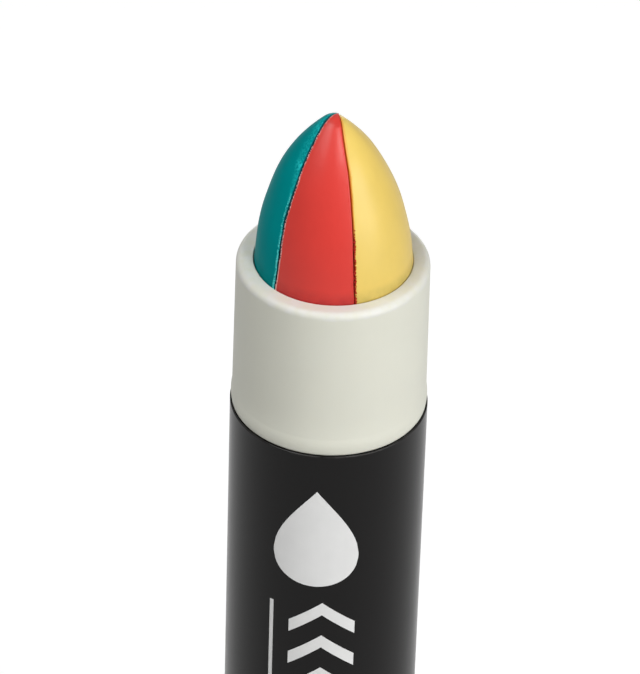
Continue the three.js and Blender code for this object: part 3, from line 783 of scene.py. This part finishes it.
across = columns_of(CHEVRON_WIDTH)
slope = np.abs(across) / (CHEVRON_WIDTH / 2) * CHEVRON_RISE
chevron_low = CHEVRON_RISE / 2 - slope - CHEVRON_STROKE / 2
first_chevron = sleeve_top - FIRST_CHEVRON_BELOW_TOP
for i in range(CHEVRONS):
    marks.append(printed(f"chevron_mark_{i + 1}", across, chevron_low,
                         chevron_low + CHEVRON_STROKE, 0.0, first_chevron - i * CHEVRON_PITCH))
chevrons_height = (CHEVRONS - 1) * CHEVRON_PITCH
rule_half = (chevrons_height + CHEVRON_RISE) / 2
marks.append(printed("rule_mark", columns_of(RULE_WIDTH), -rule_half, rule_half, RULE_DEGREES,
                     first_chevron - chevrons_height / 2))

# %% [markdown]
# The knob is turned from one outline that holds its side, its deck, the ring that runs in the
# barrel's foot, and the hub. The hub's hexagonal socket and the side's finger flutes are again
# reshaped from the round: a hexagon is a radius that changes with the angle, and a flute is where
# a small cylinder bites into the side, with a ball at each end.

# %% The twist knob
KNOB_GAP = 0.4
KNOB_WALL = 1.9
KNOB_DECK = 2.0
FLUTES, FLUTE_RADIUS, FLUTE_DEPTH, FLUTE_BAND = 16, 1.4, 0.6, 1.7
FLUTE_SOFTNESS = 0.12
BOSS_RADIUS, BOSS_WALL = 8.35, 1.4
HUB_RADIUS, SOCKET_RADIUS = 4.58, 2.88
LEDGE = 0.5
KNOB_SIDES, KNOB_STEP, KNOB_FINE_STEP = 384, 1.5, 0.3
SIDE_DEPTH, SOCKET_MARGIN = 0.3, 0.01

knob_top = sleeve_foot - KNOB_GAP


def shape_knob(radius, height, angle):
    """Presses the flutes into the knob's side and makes the hub's socket hexagonal."""
    aside = from_nearest(angle, FLUTES)
    centre = knob_radius - FLUTE_DEPTH + FLUTE_RADIUS
    straight = knob_top / 2 - FLUTE_BAND - FLUTE_RADIUS
    beyond = np.clip(np.abs(height - knob_top / 2) - straight, 0, None)
    bite = FLUTE_RADIUS**2 - beyond**2 - (centre * np.sin(aside))**2
    cut = np.where(bite > 0, centre * np.cos(aside) - np.sqrt(np.clip(bite, 0, None)), 2 * radius)
    soft = np.clip(0.5 + (cut - radius) / (2 * FLUTE_SOFTNESS), 0, 1)
    blended = cut + (radius - cut) * soft - FLUTE_SOFTNESS * soft * (1 - soft)
    side = radius > knob_radius - SIDE_DEPTH
    radius = np.where(side & (soft < 1), blended, radius)
    sixth = math.pi / 3
    flat = (angle % sixth) - sixth / 2
    hexagon = SOCKET_RADIUS * math.cos(sixth / 2) / np.cos(flat)
    return np.where(radius < SOCKET_RADIUS + SOCKET_MARGIN, hexagon, radius)


inner = knob_radius - KNOB_WALL
knob = turned("fluted_knob", spaced(outline([
    (inner, 0, 0.12),
    (knob_radius, 0, 0.5),
    (knob_radius, knob_top, 0.3),
    (BOSS_RADIUS, knob_top, 0.1),
    (BOSS_RADIUS, boss_top, 0.2),
    (BOSS_RADIUS - BOSS_WALL, boss_top, 0.2),
    (BOSS_RADIUS - BOSS_WALL, knob_top, 0.2),
    (HUB_RADIUS, knob_top, 0.2),
    (HUB_RADIUS, boss_top, 0.15),
    (SOCKET_RADIUS, boss_top, 0),
    (SOCKET_RADIUS, socket_foot, 0),
    (HUB_RADIUS, socket_foot, 0.15),
    (HUB_RADIUS, knob_top - KNOB_DECK, 0.2),
    (inner - LEDGE, knob_top - KNOB_DECK, 0.3),
    (inner - LEDGE, plug_top + SEAT_GAP, 0.1),
    (inner, plug_top + SEAT_GAP, 0.1),
]), KNOB_STEP, KNOB_FINE_STEP, fine_from=knob_radius - SEAT_GAP), KNOB_SIDES, shape_knob)
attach(knob, "knob")
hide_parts("twist_knob")

# %% [markdown]
# The plug closes the knob from below. Its underside shows when the marker lies down: it has a
# shallow ring and, in the middle, the small dimple where the plastic was injected.

# %% The knob's plug
PLUG_PLATE = 1.4
PLUG_RING_WALL = 1.1
RING_RADIUS, RING_WIDTH, RING_DEPTH, RING_SLOPE = 6.2, 0.5, 0.15, 0.1
DIMPLE_RADIUS, DIMPLE_DEPTH = 1.3, 0.3
PLUG_SIDES = 128
plug = turned("closing_plug", spaced(outline([
    (0, plug_foot + DIMPLE_DEPTH, 0),
    (DIMPLE_RADIUS - DIMPLE_DEPTH, plug_foot + DIMPLE_DEPTH, 0.15),
    (DIMPLE_RADIUS, plug_foot, 0.15),
    (RING_RADIUS, plug_foot, 0.06),
    (RING_RADIUS + RING_SLOPE, plug_foot + RING_DEPTH, 0.05),
    (RING_RADIUS + RING_WIDTH, plug_foot + RING_DEPTH, 0.05),
    (RING_RADIUS + RING_WIDTH + RING_SLOPE, plug_foot, 0.06),
    (plug_radius, plug_foot, 0.2),
    (plug_radius, plug_top, 0.2),
    (plug_radius - PLUG_RING_WALL, plug_top, 0.2),
    (plug_radius - PLUG_RING_WALL, plug_foot + PLUG_PLATE, 0.3),
    (0, plug_foot + PLUG_PLATE, 0),
]), KNOB_STEP), PLUG_SIDES)
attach(plug, "knob")
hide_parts("knob_plug")

# %% [markdown]
# No surface is one flat colour. Four effects are shared by the finishes, each a node group built
# once: a slow drift of the colour, fine grain for the bump, handling marks that change the gloss,
# and paler worn edges. They take their place from the object's own coordinates, so they stay with
# the piece as it turns or slides. Sizes are in millimetres.

# %% Helper: short ways to add shader nodes
def feed(tree, node, values):
    """Gives a node's sockets their constants, or links other sockets to them."""
    for label, value in values.items():
        if isinstance(value, bpy.types.NodeSocket):
            tree.links.new(value, node.inputs[label])
        else:
            node.inputs[label].default_value = value
    return node


def shader_node(tree, kind, values=None):
    """A new node of a kind, with values for some of its sockets."""
    return feed(tree, tree.nodes.new("ShaderNode" + kind), values or {})


def math_node(tree, operation, first, second):
    """The result of a Math node."""
    node = shader_node(tree, "Math", {0: first, 1: second})
    node.operation = operation
    return node.outputs[0]


def mix_node(tree, factor, first, second, blend="MIX"):
    """The colour that a Mix node makes of two."""
    node = shader_node(tree, "Mix")
    node.data_type, node.blend_type = "RGBA", blend
    feed(tree, node, {0: factor, 6: first, 7: second})
    return node.outputs[2]


def mask_node(tree, name):
    """A mask that the mesh carries on its points."""
    node = shader_node(tree, "Attribute")
    node.attribute_name = name
    return node.outputs["Fac"]


def range_node(tree, value, low, high, least=0.0):
    """A value stretched so that low becomes the least and high becomes one."""
    return shader_node(tree, "MapRange", {
        "Value": value, "From Min": low, "From Max": high, "To Min": least}).outputs["Result"]


def noise_node(tree, size_mm, detail, stretch=(1, 1, 1), offset=0.0):
    """Noise with blobs of a size in millimetres, drawn out along an axis where stretch is small."""
    place = shader_node(tree, "TexCoord").outputs["Object"]
    mapping = shader_node(tree, "Mapping", {
        "Vector": place, "Scale": stretch, "Location": (offset, offset, offset)})
    return shader_node(tree, "TexNoise", {
        "Vector": mapping.outputs["Vector"], "Detail": detail,
        "Scale": math_node(tree, "DIVIDE", 1 / MM, size_mm)}).outputs["Fac"]


def node_group(name, inputs, output):
    """A new shader group, the sockets that it is given, and the socket of its result."""
    group = bpy.data.node_groups.new(name, "ShaderNodeTree")
    for label, kind, value in inputs:
        group.interface.new_socket(label, in_out="INPUT", socket_type=kind).default_value = value
    label, kind = output
    group.interface.new_socket(label, in_out="OUTPUT", socket_type=kind)
    given, result = group.nodes.new("NodeGroupInput"), group.nodes.new("NodeGroupOutput")
    return group, given.outputs, result.inputs[label]


# %% The shared effects
FLOAT, COLOUR = "NodeSocketFloat", "NodeSocketColor"
GREY = (0.5, 0.5, 0.5, 1)

drift, given, result = node_group(
    "colour_drift", [("Colour", COLOUR, GREY), ("Amount", FLOAT, 0.05), ("Size", FLOAT, 4.0)],
    ("Colour", COLOUR))
slow = noise_node(drift, given["Size"], 2.0)
streaks = noise_node(drift, given["Size"], 3.0, stretch=(2.2, 2.2, 0.06), offset=0.31)
both = math_node(drift, "ADD", math_node(drift, "MULTIPLY", slow, 1.2),
                 math_node(drift, "MULTIPLY", streaks, 0.8))
change = math_node(drift, "MULTIPLY", math_node(drift, "SUBTRACT", both, 1.0), given["Amount"])
level = math_node(drift, "ADD", change, 1.0)
grey = shader_node(drift, "CombineColor", {0: level, 1: level, 2: level}).outputs[0]
drift.links.new(mix_node(drift, 1.0, given["Colour"], grey, "MULTIPLY"), result)

grain, given, result = node_group(
    "fine_grain", [("Size", FLOAT, 0.15), ("Waviness", FLOAT, 0.5)], ("Height", FLOAT))
fine = noise_node(grain, given["Size"], 3.0)
wide = noise_node(grain, math_node(grain, "MULTIPLY", given["Size"], 9.0), 1.0, offset=0.17)
waves = math_node(grain, "MULTIPLY", wide, given["Waviness"])
grain.links.new(math_node(grain, "ADD", fine, waves), result)

handling, given, result = node_group(
    "handling_marks", [("Roughness", FLOAT, 0.4), ("Amount", FLOAT, 0.1), ("Size", FLOAT, 6.0)],
    ("Roughness", FLOAT))
smudge = noise_node(handling, given["Size"], 4.0, offset=0.53)
rub_size = math_node(handling, "MULTIPLY", given["Size"], 0.08)
rubs = noise_node(handling, rub_size, 2.0, stretch=(1, 1, 0.12), offset=0.71)
both = math_node(handling, "ADD", smudge, math_node(handling, "MULTIPLY", rubs, 0.5))
spread = math_node(handling, "SUBTRACT", both, 0.75)
change = math_node(handling, "MULTIPLY", spread, given["Amount"])
handling.links.new(math_node(handling, "ADD", given["Roughness"], change), result)

wear, given, result = node_group(
    "edge_wear", [("Colour", COLOUR, GREY), ("Worn", COLOUR, GREY), ("Amount", FLOAT, 0.3)],
    ("Colour", COLOUR))
patches = range_node(wear, noise_node(wear, 1.3, 4.0, offset=0.11), 0.36, 0.6)
worn = math_node(wear, "MULTIPLY", mask_node(wear, "edge"), patches)
worn = math_node(wear, "MULTIPLY", worn, given["Amount"])
wear.links.new(mix_node(wear, worn, given["Colour"], given["Worn"]), result)
print("shared effects:", ", ".join(group.name for group in bpy.data.node_groups))

# %% [markdown]
# Every finish starts with one Principled shader whose constant sockets are set directly, and
# wires the shared effects to its colour, its roughness and its bump.

# %% Helper: a finish from the shared effects
SCATTER_COLOURS, SCATTER_REACH = (1.0, 0.8, 0.6), 0.6
SMUDGE_SIZE = 5.0


def place_group(tree, group, values):
    """Puts a shared effect into a material with its own values, and returns its result."""
    node = shader_node(tree, "Group")
    node.node_tree = group
    return feed(tree, node, values).outputs[0]


def finish(name, colour, roughness, specular, over=None, drift_amount=0.04, drift_size=4.0,
           grain_size=0.15, grain_depth=0.004, waviness=0.5, marks_amount=0.1, scatter=0.0):
    """A plastic or wax. Over is one more effect on its colour, with that effect's values."""
    material = bpy.data.materials.new(name)
    material.use_nodes = True
    tree = material.node_tree
    tint = place_group(tree, drift, {"Colour": colour, "Amount": drift_amount, "Size": drift_size})
    if over:
        tint = place_group(tree, over[0], {"Colour": tint, **over[1]})
    height = place_group(tree, grain, {"Size": grain_size, "Waviness": waviness})
    bump = shader_node(tree, "Bump", {"Height": height, "Distance": grain_depth * MM})
    feed(tree, tree.nodes["Principled BSDF"], {
        "Specular IOR Level": specular,
        "Subsurface Weight": scatter,
        "Subsurface Radius": SCATTER_COLOURS,
        "Subsurface Scale": SCATTER_REACH * MM,
        "Base Color": tint,
        "Roughness": place_group(tree, handling, {
            "Roughness": roughness, "Amount": marks_amount, "Size": SMUDGE_SIZE}),
        "Normal": bump.outputs["Normal"],
    })
    return material


def dress(piece, material):
    """Gives a piece one material all over."""
    piece.data.materials.clear()
    piece.data.materials.append(material)

# %% [markdown]
# The neck and knob are an off-white plastic, a little warm, with a satin gloss and a trace of
# light under its skin. The sleeve is satin black: it mirrors almost nothing from the front,
# brightens where the eye grazes it, and is rubbed slightly grey at its ends. The ink is flat
# white. The mechanism is natural plastic, a little clearer and glossier than the shell.

# %% Plastics and ink
OFF_WHITE = (0.725, 0.725, 0.63, 1)
WORN_AND_LIT_OFF_WHITE = (0.75, 0.75, 0.715, 1)
SLEEVE_BLACK = (0.0045, 0.004, 0.0039, 1)
WORN_BLACK = (0.045, 0.043, 0.041, 1)
INK_WHITE = (0.80, 0.80, 0.79, 1)
NATURAL_PLASTIC = (0.76, 0.75, 0.71, 1)

# Worn edges are paler; on the flat rim this paler colour also stands in for the light on its top.
shell_plastic = finish(
    "off_white_shell", OFF_WHITE, 0.4, 0.3, (wear, {"Worn": WORN_AND_LIT_OFF_WHITE, "Amount": 0.8}),
    drift_amount=0.035, drift_size=5.0, grain_size=0.22, grain_depth=0.0035, scatter=0.06)
black_plastic = finish(
    "satin_black_sleeve", SLEEVE_BLACK, 0.17, 0.2, (wear, {"Worn": WORN_BLACK, "Amount": 0.5}),
    drift_amount=0.12, drift_size=6.0, grain_size=0.12, grain_depth=0.003, waviness=0.2,
    marks_amount=0.14)
white_ink = finish("white_ink", INK_WHITE, 0.55, 0.3, drift_amount=0.05, drift_size=2.0,
                   grain_size=0.1)
mechanism_plastic = finish("natural_mechanism_plastic", NATURAL_PLASTIC, 0.42, 0.5,
                           drift_size=8.0, grain_depth=0.003, scatter=0.15)
dress(moulding, shell_plastic)
dress(knob, shell_plastic)
dress(plug, shell_plastic)
dress(sleeve, black_plastic)
for mark in marks:
    dress(mark, white_ink)
for node in ("base_bearing", "thrust_washer", "lead_screw", "carrier_cup"):
    dress(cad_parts[node], mechanism_plastic)
print("plastics and ink:", ", ".join(material.name for material in bpy.data.materials))

# %% [markdown]
# The paint is a firm, satin wax, slightly uneven from the mould. Each colour has its own lips
# along the seams: the teal's is a bright cyan, the red's a greyish pink against the teal and a
# deep red against the yellow, and the yellow's is stained orange. The cyan and the pink are partly
# a painted highlight, and the deep red and the orange are the neighbour's smeared colour darkened
# as painted shade. One more group turns the wedges' masks into these colours. Inside the groove the
# walls show the mixed colours darkened as painted shade, darker low down than near the point, and
# where the stick leaves the neck the wax is darkened in patches as painted shade.

# %% Wax with seam lips
CRUMB_SPECKLE, PAINTED_SHADE_PATCH = 0.22, 1.1
seam_lips, given, result = node_group(
    "seam_lips", [(label, COLOUR, GREY) for label in (
        "Colour", "Crumbs", "Smear", "Groove", "Groove above", "Painted foot shade")], ("Colour", COLOUR))
lip_pale_and_highlight, lip_smear_and_shade, wall, upper, foot = (
    mask_node(seam_lips, mask) for mask in ("lip_pale_and_highlight", "lip_smear_and_shade", "wall", "upper", "foot"))
# Paler lips from crumbs and a painted highlight.
speckles = range_node(seam_lips, noise_node(seam_lips, CRUMB_SPECKLE, 3.0), 0.44, 0.56, 0.1)
pale = math_node(seam_lips, "MULTIPLY", lip_pale_and_highlight, speckles)
pale = math_node(seam_lips, "MINIMUM", pale, 1.0)
# Painted shade where the stick leaves the neck: the wax is darkened in patches at the rim.
foot_shade = math_node(seam_lips, "MULTIPLY", foot, noise_node(seam_lips, PAINTED_SHADE_PATCH, 4.0))
colour = mix_node(seam_lips, foot_shade, given["Colour"], given["Painted foot shade"])
colour = mix_node(seam_lips, pale, colour, given["Crumbs"])
# The neighbour's smeared colour, darkened along the red and yellow seam as painted shade.
colour = mix_node(seam_lips, lip_smear_and_shade, colour, given["Smear"])
# Painted shade: the groove walls take darker colours than the wax, darkest low down and lighter
# towards the point.
groove = mix_node(seam_lips, upper, given["Groove"], given["Groove above"])
seam_lips.links.new(mix_node(seam_lips, wall, colour, groove), result)

# For each wax: its colour, its gloss, and its lip, groove and rim colours. The pale lip colour is
# partly a painted highlight, the smeared lip colour is partly painted shade, and the two groove
# colours and the darker rim colour are painted shade.
WAXES = {
    "teal": ((0.0, 0.26, 0.27, 1), 0.01, {
        "Crumbs": (0.02, 0.55, 0.56, 1), "Smear": (0.0, 0.26, 0.27, 1),
        "Groove": (0.004, 0.03, 0.045, 1), "Groove above": (0.01, 0.12, 0.15, 1),
        "Painted foot shade": (0.0, 0.15, 0.15, 1)}),
    "red": ((0.68, 0.046, 0.035, 1), 0.34, {
        "Crumbs": (0.80, 0.44, 0.41, 1), "Smear": (0.5, 0.02, 0.008, 1),
        "Groove": (0.32, 0.01, 0.006, 1), "Groove above": (0.62, 0.09, 0.02, 1),
        "Painted foot shade": (0.33, 0.018, 0.02, 1)}),
    "yellow": ((0.785, 0.57, 0.132, 1), 0.35, {
        "Crumbs": (0.90, 0.68, 0.30, 1), "Smear": (0.75, 0.3, 0.04, 1),
        "Groove": (0.45, 0.06, 0.01, 1), "Groove above": (0.85, 0.32, 0.03, 1),
        "Painted foot shade": (0.40, 0.31, 0.07, 1)}),
}
for name, (colour, specular, lips) in WAXES.items():
    dress(wedges[name], finish(
        f"{name}_wax", colour, 0.35, specular, (seam_lips, lips), drift_amount=0.07,
        drift_size=3.0, grain_size=0.13, grain_depth=0.006, waviness=2.0, marks_amount=0.12,
        scatter=0.06))
print("waxes:", ", ".join(WAXES))

# %% [markdown]
# A crumb scatters light at all its small faces, so it looks paler and rougher than the solid
# wax, and no two are quite alike. The dark ones are red wax soiled with the other colours.

# %% Crumbs' finish
CRUMB_COLOURS = (0.1, 0.72, 0.70, 1), (0.80, 0.50, 0.47, 1), (0.40, 0.015, 0.006, 1)
for piece, colour in zip(crumb_pieces, CRUMB_COLOURS):
    dress(piece, finish(piece.name, colour, 0.55, 0.25, drift_amount=0.5, drift_size=0.3,
                        grain_size=0.05, grain_depth=0.003))

# %% [markdown]
# The marker stands on a plain pale floor, which keeps its shadow. The floor is a mid grey, so that
# it throws little light back up. Only where the camera sees it, directly or mirrored in the
# marker, does it glow, so that it reads as white paper.

# %% Floor
FLOOR_HALF_WIDTH, FLOOR_PARTS = 4.0, 8
FLOOR_GREY, FLOOR_ROUGHNESS = (0.45, 0.45, 0.45, 1), 0.9
FLOOR_GLOW = 0.72
MIRRORED_WHITE = 0.5


def for_the_eye(tree, unseen, seen):
    """The second shader where the camera looks, half of it in mirrors, and else the first."""
    ray = shader_node(tree, "LightPath").outputs
    glossy = math_node(tree, "MULTIPLY", ray["Is Glossy Ray"], MIRRORED_WHITE)
    share = math_node(tree, "MAXIMUM", ray["Is Camera Ray"], glossy)
    return shader_node(tree, "MixShader", {
        0: share, 1: unseen.outputs[0], 2: seen.outputs[0]}).outputs[0]


work = bmesh.new()
bmesh.ops.create_grid(work, x_segments=FLOOR_PARTS, y_segments=FLOOR_PARTS, size=FLOOR_HALF_WIDTH)
floor_mesh = bpy.data.meshes.new("floor")
work.to_mesh(floor_mesh)
work.free()
floor = add_object("floor", floor_mesh)
floor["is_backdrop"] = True
floor_white = bpy.data.materials.new("floor_white")
floor_white.use_nodes = True
tree = floor_white.node_tree
shader = feed(tree, tree.nodes["Principled BSDF"], {
    "Base Color": FLOOR_GREY, "Roughness": FLOOR_ROUGHNESS, "Specular IOR Level": 0.0})
dark = shader_node(tree, "Emission", {"Strength": 0.0})
glow = shader_node(tree, "Emission", {"Strength": FLOOR_GLOW})
total = shader_node(tree, "AddShader", {0: shader.outputs[0], 1: for_the_eye(tree, dark, glow)})
feed(tree, tree.nodes["Material Output"], {"Surface": total.outputs[0]})
dress(floor, floor_white)
print(f"floor {2 * FLOOR_HALF_WIDTH} m wide")

# %% [markdown]
# Two soft lights do the work. One stands low to the front right and lights the neck's right side.
# The other hangs high on the left: it lights the flat rim and the point, and throws the point's
# soft shade onto the rim behind it. A small one in front puts the soft highlight on the point, and
# a low one keeps the back from going dark. The surroundings look white to the camera and pale in
# reflections, and fill the shadows a little.

# %% World and lights
WORLD_LIGHT = 0.06
WHITE = (1, 1, 1, 1)
LIGHT_DISTANCE = 0.7
world = bpy.data.worlds.new("studio")
bpy.context.scene.world = world
world.use_nodes = True
tree = world.node_tree
tree.nodes.clear()
soft = shader_node(tree, "Background", {"Color": WHITE, "Strength": WORLD_LIGHT})
white = shader_node(tree, "Background", {"Color": WHITE})
shader_node(tree, "OutputWorld", {"Surface": for_the_eye(tree, soft, white)})


def softbox(name, azimuth, elevation, width, height, watts):
    """An area light that faces the neck. Azimuth 0 is the front and grows to the right."""
    lamp = bpy.data.lights.new(name, "AREA")
    lamp.shape = "RECTANGLE"
    lamp.size, lamp.size_y, lamp.energy = width, height, watts
    light = add_object(name, lamp)
    a, e = math.radians(azimuth), math.radians(elevation)
    away = np.array([math.sin(a) * math.cos(e), -math.cos(a) * math.cos(e), math.sin(e)])
    light.location = np.array([0, 0, rim_height * MM]) + away * LIGHT_DISTANCE
    light.rotation_euler = (math.pi / 2 - e, 0, a)
    print(f"{name}: {watts} W from {azimuth} degrees round, {elevation} up")


softbox("right_window", 56, 11, 0.45, 0.45, 3.3)
softbox("left_high", -53, 58, 0.45, 0.45, 3.25)
softbox("front_small", 30, 44, 0.13, 0.13, 1.35)
softbox("back_low", 178, -3, 0.5, 0.16, 1.1)

# %% [markdown]
# The photograph looks down at the marker at about 37 degrees, from far away with a long lens, and
# the camera was tilted by under two degrees. The lens follows from the picture's focal length in
# pixels, and the place from the point that the camera looks at.

# %% Camera
PICTURE_HEIGHT = 674
FOCAL_PIXELS = 5180
SENSOR_WIDTH = 36.0
CAMERA_ELEVATION = math.radians(36.6)
CAMERA_ROLL = math.radians(1.8)
CAMERA_DISTANCE = 560.4
LOOK_AT = np.array([-1.165, 0.0, sleeve_top + 8.05])
back = np.array([0, -math.cos(CAMERA_ELEVATION), math.sin(CAMERA_ELEVATION)])
lens = bpy.data.cameras.new("camera")
lens.sensor_width = SENSOR_WIDTH
lens.lens = FOCAL_PIXELS * SENSOR_WIDTH / PICTURE_HEIGHT
lens.clip_start, lens.clip_end = 0.01, 20.0
camera = add_object("camera", lens)
camera.location = (LOOK_AT + back * CAMERA_DISTANCE) * MM
camera.rotation_mode = "XYZ"
camera.rotation_euler = (math.pi / 2 - CAMERA_ELEVATION, 0, 0)
camera.rotation_euler.rotate_axis("Z", CAMERA_ROLL)
bpy.context.scene.camera = camera
bpy.context.scene.view_settings.view_transform = "Standard"
print(f"lens {lens.lens:.1f} mm at {CAMERA_DISTANCE} mm")

# %% [markdown]
# Last, the box of the dressed marker is held against the box of the construction model, and the
# largest difference between them is printed.

# %% Sizes and finish
visual_box = [list(corner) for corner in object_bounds()]
difference = np.abs(np.array(cad_box) - np.array(visual_box)).max() / MM
print(f"largest difference: {difference:.2f} mm")
